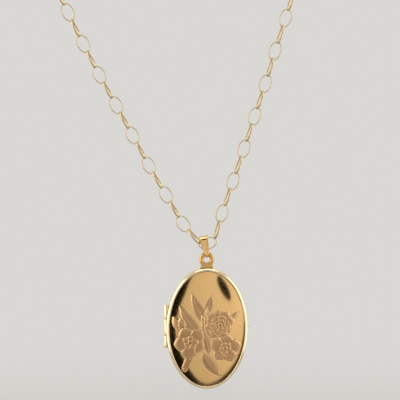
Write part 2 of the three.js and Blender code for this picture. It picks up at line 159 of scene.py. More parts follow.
def fresh(operator, name=None, **settings):
    """The object that one primitive operator makes, with nothing else selected."""
    bpy.ops.object.select_all(action="DESELECT")
    operator(**settings)
    obj = bpy.context.object
    obj.name = name or obj.name
    return obj


def shade(obj, sharp=None):
    """Smooth shading, with edges that turn by more than sharp degrees kept crisp."""
    only(obj)
    if sharp is None:
        bpy.ops.object.shade_smooth()
    else:
        bpy.ops.object.shade_smooth_by_angle(angle=math.radians(sharp))


def skin(name, place, around, section, sharp=None):
    """A grid wrapped by place(u, v), both 0 to 1, into a closed shape in mm. Its meeting edges are merged."""
    obj = fresh(bpy.ops.mesh.primitive_grid_add, name, x_subdivisions=around, y_subdivisions=section, size=2)
    u, v = ((get_points(obj)[:, :2] + 1) / 2).T
    set_points(obj, place(u, v) * MM)
    edit(obj, lambda: bpy.ops.mesh.remove_doubles(threshold=0.0002 * MM), face_outward_step)
    shade(obj, sharp)
    return obj


def lathe(name, points, steps, axis):
    """A closed ring of points in mm spun about a line through the origin."""
    obj = fresh(bpy.ops.mesh.primitive_circle_add, name, vertices=len(points), radius=1)
    set_points(obj, points * MM)
    edit(
        obj,
        lambda: bpy.ops.mesh.spin(steps=steps, angle=2 * math.pi, center=(0, 0, 0), axis=axis),
        lambda: bpy.ops.mesh.select_all(action="SELECT"),
        lambda: bpy.ops.mesh.remove_doubles(threshold=0.0005 * MM),
        face_outward_step,
    )
    return obj


def apply_modifier(obj, kind, **settings):
    only(obj)
    modifier = obj.modifiers.new(kind.lower(), kind)
    for key, value in settings.items():
        setattr(modifier, key, value)
    bpy.ops.object.modifier_apply(modifier=modifier.name)


def cut_away(cutter, *objs):
    for obj in objs:
        apply_modifier(obj, "BOOLEAN", object=cutter, operation="DIFFERENCE", solver="EXACT")
    bpy.data.objects.remove(cutter)


def join(first, *others):
    bpy.ops.object.select_all(action="DESELECT")
    for obj in (first, *others):
        obj.select_set(True)
    bpy.context.view_layer.objects.active = first
    bpy.ops.object.join()
    return first


def bake_place(obj):
    only(obj)
    bpy.ops.object.transform_apply(location=True, rotation=True, scale=True)


def joint_place(name):
    """Where a joint of the frame stands, in mm."""
    return np.array(next(j for j in frame["joints"] if j["name"] == name)["pos_m"]) / MM


def solid_axes(node_name):
    """A plain solid's middle in mm, its points from there, and its axes from the longest to the shortest."""
    points = get_points(frame["nodes"][node_name]) / MM
    middle = (points.max(axis=0) + points.min(axis=0)) / 2
    return middle, points - middle, np.linalg.svd(points - middle, full_matrices=False)[2]


def stands_for(obj, body, slot, material, *nodes):
    obj.data.materials.clear()
    obj.data.materials.append(material)
    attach(obj, body)
    if nodes:
        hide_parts(*nodes)
    return obj


# %% [markdown]
# The materials. Rolled gold is a skin of yellow gold on brass. Its colour is all in the reflection, so
# the shader is metallic with a gold base colour, a low roughness from buffing, and faint hairlines from
# wear. Colours are written as sRGB hex and turned to linear by one function.

# %% Helpers for materials
def colour(hex_value):
    parts = [int(hex_value[k : k + 2], 16) / 255 for k in (1, 3, 5)]
    return (*[c / 12.92 if c <= 0.04045 else ((c + 0.055) / 1.055) ** 2.4 for c in parts], 1)


def node(tree, kind, links=None, **settings):
    made = tree.nodes.new(kind)
    for key, value in settings.items():
        if hasattr(made, key):
            setattr(made, key, value)
        else:
            made.inputs[key.replace("_", " ")].default_value = value
    for socket, source in (links or {}).items():
        tree.links.new(source, made.inputs[socket])
    return made


def mixed(tree, factor, first, second):
    """A mix of two colours. Each is written in hex or comes from another node."""
    mix = node(tree, "ShaderNodeMix", {"Factor": factor}, data_type="RGBA")
    for socket, side in ((6, first), (7, second)):
        if isinstance(side, str):
            mix.inputs[socket].default_value = colour(side)
        else:
            tree.links.new(side, mix.inputs[socket])
    return mix.outputs[2]


def blank_material(name, **settings):
    material = bpy.data.materials.new(name)
    material.use_nodes = True
    shader = material.node_tree.nodes["Principled BSDF"]
    for key, value in settings.items():
        shader.inputs[key.replace("_", " ")].default_value = value
    return material, material.node_tree, shader


def per_metre(mm):
    """Pattern scale for features of this size: textures repeat about once for each unit over the scale."""
    return 1 / (mm * MM)


# %% Gold
CLOUD, HAIRLINE, ROUGHEST = 4, 0.12, 1.9


def rolled_gold(name, base, worn, roughness):
    """Metal with a slow drift of colour and fine lines of wear, whose sizes are in mm."""
    material, tree, shader = blank_material(name, Metallic=1.0)
    place = node(tree, "ShaderNodeTexCoord").outputs["Object"]
    cloud = node(tree, "ShaderNodeTexNoise", {"Vector": place}, Scale=per_metre(CLOUD), Detail=3.0)
    tree.links.new(mixed(tree, cloud.outputs["Fac"], base, worn), shader.inputs["Base Color"])
    # Stretched noise makes the hairlines, long one way and fine the other.
    turn = node(tree, "ShaderNodeMapping", {"Vector": place}, Rotation=(0.3, 0.2, 0.7), Scale=(1, 0.06, 0.06))
    lines = node(tree, "ShaderNodeTexNoise", {"Vector": turn.outputs[0]}, Scale=per_metre(HAIRLINE), Detail=2.0)
    span = node(
        tree, "ShaderNodeMapRange", {"Value": lines.outputs["Fac"]},
        From_Min=0.35, From_Max=0.75, To_Min=roughness, To_Max=roughness * ROUGHEST,
    )
    tree.links.new(span.outputs[0], shader.inputs["Roughness"])
    dent = node(tree, "ShaderNodeBump", {"Height": cloud.outputs["Fac"]}, Strength=0.1, Distance=0.00001)
    tree.links.new(dent.outputs[0], shader.inputs["Normal"])
    return material


GOLD = rolled_gold("rolled_gold_buffed", "#DCB47A", "#D2A76A", 0.11)
RIM_GOLD = rolled_gold("pale_rolled_gold_rim_wire", "#ECD9B4", "#E0C99C", 0.12)
CHAIN_GOLD = rolled_gold("pale_gold_tumbled_links", "#CFBC96", "#BFA97F", 0.3)
CAST_GOLD = rolled_gold("cast_gold_bobbed_not_buffed", "#CFA466", "#C2965A", 0.24)
print("gold finishes:", GOLD.name, CHAIN_GOLD.name)

# %% [markdown]
# The chain is an oval belcher chain: each link is an oval of flat half-round wire, and every second link
# is turned a quarter. The real strands hang limp. Here each follows the same route as its plain solid:
# links stand at an even pitch down the route and are joined into one piece.

# %% Strand routes, in millimetres
LEFT_ROUTE = [
    (5.1, -69.25), (2.3, -65.9), (0.15, -62.3), (-1.9, -58.75), (-4.05, -55.1), (-6.15, -51.4),
    (-8.15, -47.7), (-10.15, -44), (-12.15, -40.3), (-14.15, -36.6), (-16.25, -32.8), (-18.3, -29),
    (-20.25, -25.25), (-22.15, -21.5), (-24.05, -17.65), (-25.9, -13.75), (-27.8, -9.9), (-30.3, -5),
]
RIGHT_ROUTE = [
    (10.95, -67.5), (11.55, -65.4), (12.45, -62.4), (13.7, -58.8), (15.05, -55), (16.35, -51),
    (17.7, -47), (19, -43), (20.35, -39), (21.7, -34.9), (23, -30.9), (24.25, -26.8),
    (25.5, -22.6), (26.8, -18.5), (28.1, -14.4), (29.45, -10.2), (31, -5.4),
]


def along(route, distances):
    """Points and directions on a route at the given distances from its start, in mm."""
    points = np.array([(x, 0, z) for x, z in route], float)
    steps = np.r_[0, np.cumsum(np.linalg.norm(np.diff(points, axis=0), axis=1))]
    sample = lambda s: np.array([np.interp(s, steps, points[:, k]) for k in range(3)])
    places = [sample(s) for s in distances]
    ways = [sample(min(s + 1.5, steps[-1])) - sample(max(s - 1.5, 0)) for s in distances]
    return places, [w / np.linalg.norm(w) for w in ways], steps[-1]


# %% One link
LINK_WIDTH, LINK_WIRE, LINK_BAND = 3.15, 0.29, 0.5
ACROSS = np.array((0, 1.0, 0))


def link_at(name, centre, way, normal, length, width, wire, band, around=44, section=10):
    """An oval link of half-round wire: long axis along way, lying square to normal."""
    side = np.cross(normal, way)

    def place(u, v):
        turn, across = 2 * math.pi * u, 2 * math.pi * v
        flat = np.sign(np.cos(across)) * np.abs(np.cos(across)) ** 0.7 * band / 2
        thick = np.sin(across) * wire / 2
        along_way = (length / 2 - wire / 2 + thick) * np.cos(turn)
        along_side = (width / 2 - wire / 2 + thick) * np.sin(turn)
        return centre + np.outer(along_way, way) + np.outer(along_side, side) + np.outer(flat, normal)

    return skin(name, place, around, section)


TIP_PAST_END = 1.32


def strand(name, route, count, twist, body_cad):
    """Alternate links, a twisted edge-on one first and a face-on one last, whose tip holds the end ring."""
    twist = math.radians(twist)
    *_, length = along(route, [0])
    pitch = (length - TIP_PAST_END) / (count - 1)
    centres, ways, _ = along(route, [k * pitch for k in range(count)])
    sizes = (pitch + 2 * LINK_WIRE, LINK_WIDTH, LINK_WIRE, LINK_BAND)
    links = []
    for k, (centre, way) in enumerate(zip(centres, ways)):
        edge_on = np.cross(way, ACROSS) * math.cos(twist) + ACROSS * math.sin(twist)
        links.append(link_at(f"{name}_{k}", centre, way, ACROSS if k % 2 else edge_on, *sizes))
    chain = join(*links)
    chain.name = name
    reach = pitch / 2 + LINK_WIRE
    path = [centres[0] - ways[0] * reach, *centres, centres[-1] + ways[-1] * reach]
    path = [Vector(p) * MM for p in path]
    stands_for(chain, "chain", "chain_gold", CHAIN_GOLD, body_cad)
    print(f"{name}: {count} links, pitch {pitch:.2f} mm")


# %% [markdown]
# At the top each strand ends in a round ring. The left one carries a bolt ring, the usual clasp of such a
# chain: a hollow ring with a mouth, and a sprung bolt drawn back by a little trigger. The right one
# carries the tab it closes on. Their places are measured from the plain solids, and round sections
# replace the faceted ones.

# %% End rings
RING_WIRE = 0.25


def end_ring(name, node_name):
    """A smooth round ring in the place of a plain one that stands in a plane through Y."""
    centre, flat, (first, second, normal) = solid_axes(node_name)
    radius = np.abs(flat[:, 1]).max() - RING_WIRE

    def place(u, v):
        turn, across = 2 * math.pi * u, 2 * math.pi * v
        out = np.outer(np.cos(turn), first) + np.outer(np.sin(turn), second)
        reach = (radius + RING_WIRE * np.cos(across))[:, None]
        return centre + out * reach + np.outer(RING_WIRE * np.sin(across), normal)

    return stands_for(skin(name, place, 64, 20), "chain", "chain_gold", CHAIN_GOLD, node_name)


left_ring = end_ring("left_end_ring", "end_ring_left")
right_ring = end_ring("right_end_ring", "end_ring_right")

# %% Bolt ring
# Lengths in mm. MOUTH, BOLT_INSIDE and the angle of the clasp's eye are in degrees round the ring.
TUBE_RADIUS, TUBE_WIRE, TUBE_BORE, MOUTH, BOLT_INSIDE, BOLT_RADIUS = 2.35, 0.6, 0.42, 60, 50, 0.35
CLASP_EYE_ANGLE, CLASP_EYE_RADIUS, CLASP_EYE_WIRE = 215, 0.72, 0.2
clasp_centre = joint_place("clasp_bolt_slide")
tube_points = get_points(frame["nodes"]["clasp_tube"]) / MM - clasp_centre
reach_out = np.linalg.norm(tube_points, axis=1)
far = tube_points[reach_out.argmax()]
clasp_turn = math.atan2(far[2], far[0]) - math.radians(CLASP_EYE_ANGLE)
print("bolt ring turned", round(math.degrees(clasp_turn), 1), "degrees")


def arc_rod(name, start, end, outline, around=60, section=16):
    """A rod bent round the bolt ring from one angle to another. outline(u) is its share of the way and radius."""

    def place(u, v):
        share, radius = outline(u)
        angle = np.radians(start + (end - start) * share) + clasp_turn
        across = 2 * math.pi * v
        out = TUBE_RADIUS + radius * np.cos(across)
        return clasp_centre + np.c_[out * np.cos(angle), radius * np.sin(across), out * np.sin(angle)]

    return skin(name, place, around, section, sharp=40)


def capped(radius, length_degrees):
    """A radius that falls to nothing over the last few degrees at both ends, as a filed end does."""
    soft = 3.5 / length_degrees

    def at(u):
        near = np.clip(np.minimum(u, 1 - u) / soft, 0, 1)
        return u, radius * np.sqrt(1 - (1 - near) ** 2)

    return at


def hollow(outside, bore):
    """Out along a tube's outer face and back along its bore, with both ends eased."""
    middle, ease = (outside + bore) / 2, 0.02
    turns = [0, 0.005, 0.01, 0.49, 0.495, 0.5, 0.505, 0.51, 0.99, 0.995, 1]
    shares = [0, 0, 0.002, 0.998, 1, 1, 1, 0.998, 0.002, 0, 0]
    out_radii = [middle, outside - ease, outside, outside, outside - ease]
    radii = [*out_radii, middle, bore + ease, bore, bore, bore + ease, middle]
    return lambda u: (np.interp(u, turns, shares), np.interp(u, turns, radii))


def straight_rod(name, start, end, radius, section=20, around=14, tip=0.4):
    """A round rod between two points in mm, with its ends rounded off."""
    start, end = np.array(start, float), np.array(end, float)
    way = (end - start) / np.linalg.norm(end - start)
    helper = np.array((0, 1.0, 0)) if abs(way[1]) < 0.9 else np.array((1.0, 0, 0))
    first = np.cross(way, helper)
    first /= np.linalg.norm(first)
    second = np.cross(way, first)
    length = np.linalg.norm(end - start)
    soft = tip * radius / length

    def place(u, v):
        # Rings crowd at both ends, where the rod is rounded off.
        share = 0.5 - 0.5 * np.cos(math.pi * u)
        near = np.clip(np.minimum(share, 1 - share) / soft, 0, 1)
        wide = radius * np.where(near < 1, (1 - (1 - near) ** 2) ** 0.5 * tip + (1 - tip) * (near > 0), 1)
        turn = 2 * math.pi * v
        spoke = np.outer(np.cos(turn), first) + np.outer(np.sin(turn), second)
        return start + np.outer(share * length, way) + spoke * wide[:, None]

    return skin(name, place, around, section, sharp=50)


tube = arc_rod("clasp_shell", MOUTH, 360, hollow(TUBE_WIRE, TUBE_BORE), around=200, section=28)
eye_reach = TUBE_RADIUS + TUBE_WIRE + CLASP_EYE_RADIUS + CLASP_EYE_WIRE * 0.4
eye_angle = math.radians(CLASP_EYE_ANGLE) + clasp_turn
eye_centre = clasp_centre + eye_reach * np.array((math.cos(eye_angle), 0, math.sin(eye_angle)))
eye_size, eye_wire = 2 * (CLASP_EYE_RADIUS + CLASP_EYE_WIRE), 2 * CLASP_EYE_WIRE
clasp_eye = link_at(
    "clasp_eye", eye_centre, np.array((1.0, 0, 0)), ACROSS, eye_size, eye_size, eye_wire, eye_wire, 48, 14
)
TRIGGER_ANGLE = MOUTH + 9
SLOT_HALF_WIDTH, SLOT_LENGTH = 0.17, 28


def slot_place(u, v):
    """A round-ended box over the tube's outer side, which cuts the trigger's slot."""
    angle = np.radians(TRIGGER_ANGLE - 4 + (SLOT_LENGTH + 8) * u) + clasp_turn
    near = np.minimum(u, 1 - u) * (SLOT_LENGTH + 8) / 4
    wide = SLOT_HALF_WIDTH * np.sqrt(np.clip(1 - (1 - np.clip(near, 0, 1)) ** 2, 0, 1))
    turn = 2 * math.pi * v + math.pi / 4
    square = lambda c: np.clip(c * 1.5, -1, 1)
    out = TUBE_RADIUS + 0.55 + 0.35 * square(np.cos(turn))
    return clasp_centre + np.c_[out * np.cos(angle), wide * square(np.sin(turn)), out * np.sin(angle)]


cut_away(skin("slot_cutter", slot_place, 30, 16), tube)
join(tube, clasp_eye)
stands_for(tube, "chain", "chain_gold", CHAIN_GOLD, "clasp_tube")

bolt_span = MOUTH + BOLT_INSIDE + 5
bolt_outline = capped(BOLT_RADIUS, bolt_span)
bolt = arc_rod("clasp_bolt_and_trigger", -5, MOUTH + BOLT_INSIDE, bolt_outline, around=70, section=20)
trigger_angle = math.radians(TRIGGER_ANGLE) + clasp_turn
spoke = np.array((math.cos(trigger_angle), 0, math.sin(trigger_angle)))
trigger_ends = [clasp_centre + spoke * (TUBE_RADIUS + reach) for reach in (0, 1.1)]
trigger = straight_rod("trigger", *trigger_ends, 0.13)
join(bolt, trigger)
stands_for(bolt, "clasp_bolt", "chain_gold", CHAIN_GOLD, "clasp_bolt")
print("bolt ring at", clasp_centre.round(2), "mm")

# %% Spring inside the bolt ring
SPRING_WIRE, SPRING_TURNS, SPRING_SPAN = 0.07, 6, 72


def spring_place(u, v):
    angle = np.radians(MOUTH + BOLT_INSIDE + 2 + SPRING_SPAN * u) + clasp_turn
    turn, across = 2 * math.pi * SPRING_TURNS * u, 2 * math.pi * v
    thin = SPRING_WIRE * np.where((u <= 0) | (u >= 1), 0.0, 1.0)
    coil = 0.29 + thin * np.cos(across)
    out = TUBE_RADIUS + coil * np.cos(turn)
    slide = thin * np.sin(across)
    return clasp_centre + np.c_[
        out * np.cos(angle) - slide * np.sin(angle), coil * np.sin(turn), out * np.sin(angle) + slide * np.cos(angle)
    ]


SPRING_STEEL = rolled_gold("drawn_spring_wire", "#A6A6A2", "#8E8E8A", 0.3)
spring = skin("clasp_spring_coil", spring_place, 180, 8)
# In the clasp the bolt pushes the spring's near end round the ring, and its far end stays with the tube. Here the coil
# is one fixed piece, filed under no body.
spring.data.materials.append(SPRING_STEEL)
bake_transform(spring)
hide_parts("clasp_spring")

# %% Tab
TAB_LENGTH, TAB_WIDTH, TAB_WIRE = 6.2, 2.6, 0.5
tab_centre, _, tab_axes = solid_axes("clasp_tag")
tab = link_at("closing_tab", tab_centre, tab_axes[0], ACROSS, TAB_LENGTH, TAB_WIDTH, TAB_WIRE, TAB_WIRE, 72, 18)
stands_for(tab, "chain", "chain_gold", CHAIN_GOLD, "clasp_tag")

# %% Strands
strand("left_strand", LEFT_ROUTE, 18, 12.5, "chain_left")
strand("right_strand", RIGHT_ROUTE, 16, -7, "chain_right")

# %% [markdown]
# One link carries the locket. It lies face-on inside the bail, pulled a little out of level by the two
# strands.

# %% Bail link
# Its wire is a little finer than the strands', so that it swings clear inside the last edge-on link.
CARRIER_LENGTH, CARRIER_WIRE, CARRIER_BAND = 4.8, 0.25, 0.4
link_centre, _, link_axes = solid_axes("bail_link")
carrier = link_at(
    "carrier_link", link_centre, link_axes[0], ACROSS, CARRIER_LENGTH, LINK_WIDTH, CARRIER_WIRE, CARRIER_BAND, 64, 14
)
stands_for(carrier, "bail_link", "chain_gold", CHAIN_GOLD, "bail_link")
print("carrier link at", link_centre.round(2))

# %% [markdown]
# The bail is a strip of sheet gold bent into a closed loop: a wide bend over the link, a narrow one
# through the eye. Its borders are raised by the roller, so its section is drawn as points and carried
# round the loop. It narrows from the top to the foot, and the whole loop leans a little to the hinge
# side.

# %% Bail
BAIL_STRIP, BAIL_LENGTH, TOP_BEND, FOOT_BEND = 0.22, 3.45, 1.05, 0.7
TOP_WIDTH, LEG_WIDTH, FOOT_WIDTH, LEAN = 2.1, 1.4, 0.7, math.radians(11)
hang_point = joint_place("locket_swing")
STRIP_SECTION = np.array([
    (-1, 0.03), (-0.98, 0.085), (-0.92, 0.11), (-0.84, 0.105), (-0.76, 0.07), (-0.7, 0.045), (-0.35, 0.04),
    (0, 0.04), (0.35, 0.04), (0.7, 0.045), (0.76, 0.07), (0.84, 0.105), (0.92, 0.11), (0.98, 0.085), (1, 0.03),
    (1, -0.06), (0.96, -0.105), (0.8, -0.11), (0.4, -0.11), (0, -0.11), (-0.4, -0.11), (-0.8, -0.11),
    (-0.96, -0.105), (-1, -0.06),
])


def bail_place(u, v):
    """Round the loop from the foot bend, up one leg, over the top bend and down the other leg."""
    top, foot = TOP_BEND + BAIL_STRIP / 2, FOOT_BEND + BAIL_STRIP / 2
    flare = math.asin((TOP_BEND - FOOT_BEND) / BAIL_LENGTH)
    leg = BAIL_LENGTH * math.cos(flare)
    foot_arc, top_arc = foot * (math.pi - 2 * flare), top * (math.pi + 2 * flare)
    whole = foot_arc + top_arc + 2 * leg
    s = u * whole
    legs = [foot_arc, foot_arc + leg, foot_arc + leg + top_arc]
    part = np.searchsorted(legs, s, side="right")
    on = [part == 0, part == 1, part == 2]
    angle = np.select(
        on,
        [math.pi + flare + s / foot, np.full_like(s, -flare), -flare + (s - legs[1]) / top],
        math.pi + flare,
    )
    share = np.select(on, [0 * s, (s - legs[0]) / leg, 0 * s + 1], 1 - (s - legs[2]) / leg)
    radius = foot + (top - foot) * share
    rise = BAIL_LENGTH * share
    column = np.rint(v * len(STRIP_SECTION)).astype(int) % len(STRIP_SECTION)
    across, proud = STRIP_SECTION[column].T
    y = (radius + proud) * np.cos(angle)
    z = rise + (radius + proud) * np.sin(angle)
    height = np.clip((z + foot) / (BAIL_LENGTH + top + foot), 0, 1)
    x = across * np.interp(height, (0, 0.13, 0.3, 1), (FOOT_WIDTH, FOOT_WIDTH, LEG_WIDTH, TOP_WIDTH)) / 2
    return hang_point + np.c_[
        x * math.cos(LEAN) - z * math.sin(LEAN), y, x * math.sin(LEAN) + z * math.cos(LEAN)
    ]


bail = skin("bail_strip", bail_place, 160, len(STRIP_SECTION), sharp=50)
stands_for(bail, "bail", "polished_gold", GOLD, "bail")

# %% [markdown]
# The case pieces are turned shapes. A goldsmith draws the oval rims from wire in a die. Here a profile is
# drawn as a circle primitive whose points take the profile's places, spun about the case's axis, and
# drawn in to the oval. Near the outline the wall keeps the same width all round. A dome closes evenly on
# the centre instead.

# %% Spun oval pieces
BAND = 2.4


def spun(name, profile, steps=208, even=False, sharp=32):
    """A closed list of [inset from the outline, y] in mm, spun about Y, drawn to the oval and set on the case."""
    insets, depths = np.array(profile, float).T
    obj = lathe(name, np.c_[HALF_HEIGHT - insets, depths, 0 * insets], steps, (0, 1, 0))
    x, y, z = (get_points(obj) / MM).T
    radius = np.maximum(np.hypot(x, z), 1e-9)
    inset = HALF_HEIGHT - radius
    if even:
        narrow = radius * (HALF_WIDTH - PLATE_INSET) / (HALF_HEIGHT - PLATE_INSET)
    else:
        narrow = np.where(inset < BAND, HALF_WIDTH - inset, radius * (HALF_WIDTH - BAND) / (HALF_HEIGHT - BAND))
    set_points(obj, (np.c_[x * narrow / radius, y, z] + np.array(CASE_CENTRE) / MM) * MM)
    shade(obj, sharp)
    return obj


def arc(centre, radii, start, end, count):
    """Points of an elliptical arc in a profile, angles in degrees."""
    turns = np.radians(np.linspace(start, end, count))
    return [(centre[0] + radii[0] * math.cos(t), centre[1] + radii[1] * math.sin(t)) for t in turns]


def flipped(profile):
    return [(inset, -y) for inset, y in profile]


# %% Rims
GAP, WALL = 0.05, 0.5
RIM_SECTION = [
    (WALL, -GAP),
    *arc((0.1, -GAP - 0.1), (0.1, 0.1), 90, 180, 5),
    *[(0, -GAP - 0.1 - k * 0.18) for k in range(1, 5)],
    (0.03, -RIM_DEPTH + 0.46), (0.09, -RIM_DEPTH + 0.35), (0.17, -RIM_DEPTH + 0.245), (0.26, -RIM_DEPTH + 0.155),
    (0.36, -RIM_DEPTH + 0.08), (0.46, -RIM_DEPTH + 0.03), (0.54, -RIM_DEPTH + 0.005), (0.6, -RIM_DEPTH),
    *arc((0.6, -RIM_DEPTH + 0.3), (0.2, 0.3), 285, 350, 6),
    (0.8, -SHELF_DEPTH - 0.005),
    (WALL, -SHELF_DEPTH),
    (WALL, -(SHELF_DEPTH + GAP) / 2),
]
front_rim = spun("front_rim_bead", RIM_SECTION)
back_rim = spun("back_rim_bead", flipped(RIM_SECTION))

# %% [markdown]
# The snap lip is a thin band of sheet soldered inside the back rim. The front rim closes over it, so its
# free edge is rounded over. The picture frames, the clear windows and the cards sit behind it in both
# halves.

# %% Snap lip
LIP_OUT, LIP_SHEET, LIP_STANDS = WALL + GAP, 0.3, 0.4
lip_middle = LIP_OUT + LIP_SHEET / 2
snap_lip = spun("snap_lip_band", [
    *arc((lip_middle, -LIP_STANDS + 0.12), (LIP_SHEET / 2, 0.12), 180, 360, 9),
    (LIP_OUT + LIP_SHEET, SHELF_DEPTH - GAP),
    (LIP_OUT, SHELF_DEPTH - GAP),
])

# %% Hinge channel, filed through both rims and the lip
rod_low, rod_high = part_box("hinge_pin")
hinge_low = np.array(rod_low) / MM
hinge_high = np.array(rod_high) / MM
hinge_axis = joint_place("cover_hinge")
KNUCKLE, BORE = 0.6, 0.32
channel = fresh(
    bpy.ops.mesh.primitive_cylinder_add,
    vertices=64,
    radius=(KNUCKLE + GAP) * MM,
    depth=(hinge_high[2] - hinge_low[2] + 2 * GAP) * MM,
    location=(hinge_axis[0] * MM, 0, (hinge_low[2] + hinge_high[2]) / 2 * MM),
)
bake_place(channel)
cut_away(channel, front_rim, back_rim, snap_lip)
print("channel for a hinge of", round(float(hinge_high[2] - hinge_low[2]), 2), "mm")


# %% Hinge knuckles and pin
def turned(name, profile, steps=48, sharp=35):
    """A closed profile of [radius, z] in mm spun about the hinge's line."""
    radii, heights = np.array(profile, float).T
    obj = lathe(name, np.c_[radii, 0 * radii, heights], steps, (0, 0, 1))
    set_points(obj, get_points(obj) + np.array((hinge_axis[0], hinge_axis[1], 0)) * MM)
    shade(obj, sharp)
    return obj


def knuckle(name, node_name):
    low, high = (np.array(c)[2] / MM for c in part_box(node_name))
    soft = 0.07
    return turned(name, [
        (BORE, low + soft / 2), (BORE + soft / 2, low), (KNUCKLE - soft, low), (KNUCKLE - soft * 0.3, low + soft * 0.3),
        (KNUCKLE, low + soft), (KNUCKLE, high - soft), (KNUCKLE - soft * 0.3, high - soft * 0.3),
        (KNUCKLE - soft, high), (BORE + soft / 2, high), (BORE, high - soft / 2),
    ])


upper = knuckle("upper_knuckle", "hinge_knuckle_upper")
lower = knuckle("lower_knuckle", "hinge_knuckle_lower")
middle = knuckle("middle_knuckle", "hinge_knuckle_middle")
pin_radius = (hinge_high[0] - hinge_low[0]) / 2
pin_low, pin_high = hinge_low[2], hinge_high[2]
pin = turned("hinge_pin_rivet", [
    (0, pin_low), (pin_radius * 0.6, pin_low + 0.02), (pin_radius, pin_low + 0.1),
    (pin_radius, pin_high - 0.1), (pin_radius * 0.6, pin_high - 0.02), (0, pin_high),
], steps=32)
stands_for(upper, "back_half", "polished_gold", RIM_GOLD, "hinge_knuckle_upper")
stands_for(lower, "back_half", "polished_gold", RIM_GOLD, "hinge_knuckle_lower")
stands_for(middle, "front_half", "polished_gold", RIM_GOLD, "hinge_knuckle_middle")
stands_for(pin, "back_half", "polished_gold", GOLD, "hinge_pin")

# %% [markdown]
# The opening nib is a bead of solder on the front rim, opposite the hinge, where a fingernail lifts the
# cover. It is a sphere pulled out a little, and the rim has a seat for it.

# %% Opening nib
nib_low, nib_high = (np.array(c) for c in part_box("opening_nib"))
nib_centre, nib_radius = (nib_low + nib_high) / 2, float((nib_high - nib_low)[0]) / 2
nib_settings = {"segments": 48, "ring_count": 24, "location": nib_centre}
seat = fresh(bpy.ops.mesh.primitive_uv_sphere_add, radius=nib_radius + GAP * MM, **nib_settings)
bake_place(seat)
cut_away(seat, front_rim)
nib = fresh(bpy.ops.mesh.primitive_uv_sphere_add, "opening_nib_bead", radius=nib_radius, **nib_settings)
edit(nib, lambda: bpy.ops.transform.resize(value=(1, 0.86, 0.94)))
bake_place(nib)
shade(nib)
stands_for(nib, "front_half", "polished_gold", RIM_GOLD, "opening_nib")
stands_for(front_rim, "front_half", "polished_gold", RIM_GOLD, "front_rim")
stands_for(back_rim, "back_half", "polished_gold", RIM_GOLD, "back_rim")
stands_for(snap_lip, "back_half", "polished_gold", GOLD, "snap_lip")

# %% [markdown]
# The pendant eye is a flat ring on a flared foot, cast in one and soldered to the back rim. A flattened
# torus and a tapered block are joined, remeshed at a fine voxel and smoothed, which blends them as
# casting does.

# %% Pendant eye
EYE_WIRE, EYE_RADIUS, EYE_STANDS = 0.46, 1.35, 2.1
eye_height = (HALF_HEIGHT + EYE_STANDS) * MM
# Smoothing shrinks the wire a little, so it starts out thicker.
SMOOTHED_AWAY = 0.1
eye = fresh(
    bpy.ops.mesh.primitive_torus_add, "pendant_eye_on_foot",
    major_segments=96, minor_segments=32,
    major_radius=EYE_RADIUS * MM, minor_radius=(EYE_WIRE + SMOOTHED_AWAY) * MM,
    location=(0, 0, eye_height), rotation=(math.pi / 2, 0, 0),
)
bake_place(eye)
edit(eye, lambda: bpy.ops.transform.resize(value=(1, 0.86, 1)))
FOOT_WIDTH_LOW, FOOT_WIDTH_TOP, FOOT_DEEP = 3.4, 2.8, 0.86
foot_low, foot_top = HALF_HEIGHT - 0.3, HALF_HEIGHT + 1.3
foot = fresh(bpy.ops.mesh.primitive_cube_add, size=1, location=(0, 0, (foot_low + foot_top) / 2 * MM))
foot_size = (FOOT_WIDTH_LOW * MM, FOOT_DEEP * MM, (foot_top - foot_low) * MM)
edit(foot, lambda: bpy.ops.transform.resize(value=foot_size))
edit(foot, lambda: bpy.ops.mesh.subdivide(number_cuts=12))
bake_place(foot)
points = get_points(foot) / MM
lift = np.clip((points[:, 2] - foot_low) / (foot_top - foot_low), 0, 1)
points[:, 0] *= 1 + (FOOT_WIDTH_TOP / FOOT_WIDTH_LOW - 1) * np.sin(lift * math.pi / 2) ** 0.8
set_points(foot, points * MM)
join(eye, foot)
apply_modifier(eye, "REMESH", mode="VOXEL", voxel_size=0.045 * MM)
apply_modifier(eye, "SMOOTH", factor=0.5, iterations=6)
points = get_points(eye) / MM
outline = HALF_HEIGHT * np.sqrt(np.clip(1 - (points[:, 0] / HALF_WIDTH) ** 2, 0, 1))
# The back of the foot is soldered down on the back rim, and the front of it stays clear of the front rim.
clear = np.where(points[:, 1] > 0.06, -0.03, GAP)
points[:, 2] = np.maximum(points[:, 2], outline + clear)
set_points(eye, (points + np.array(CASE_CENTRE) / MM) * MM)
shade(eye, 40)
stands_for(eye, "back_half", "polished_gold", CAST_GOLD, "pendant_eye")
print("pendant eye:", len(eye.data.polygons), "faces")

# %% [markdown]
# Inside, each half holds a picture: a card on the rim's shelf, a clear window over it, and a thin gold
# frame that snaps in over both. No picture is supplied, so the card is a blank one.

# %% Picture frames, windows and cards
FRAME_WIDTH, FRAME_THICK, SHEET = 1.4, 0.3, 0.15


def sheet_profile(inset, depth, thick, soft=0.03):
    centre = HALF_HEIGHT
    return [
        (centre, depth), (inset + soft, depth), (inset, depth + soft), (inset, depth + thick - soft),
        (inset + soft, depth + thick), (centre, depth + thick),
    ]


def frame_profile(outer, depth):
    """Its visible face is crowned and its inner edge is rounded down to the window."""
    inner = outer + FRAME_WIDTH
    return [
        (inner, depth + FRAME_THICK), (inner - 0.02, depth + FRAME_THICK * 0.5),
        *arc((inner - 0.22, depth + 0.16), (0.2, 0.16), 350, 270, 6),
        (outer + FRAME_WIDTH * 0.45, depth + 0.02), (outer + 0.1, depth + 0.03), (outer, depth + 0.1),
        (outer, depth + FRAME_THICK),
    ]


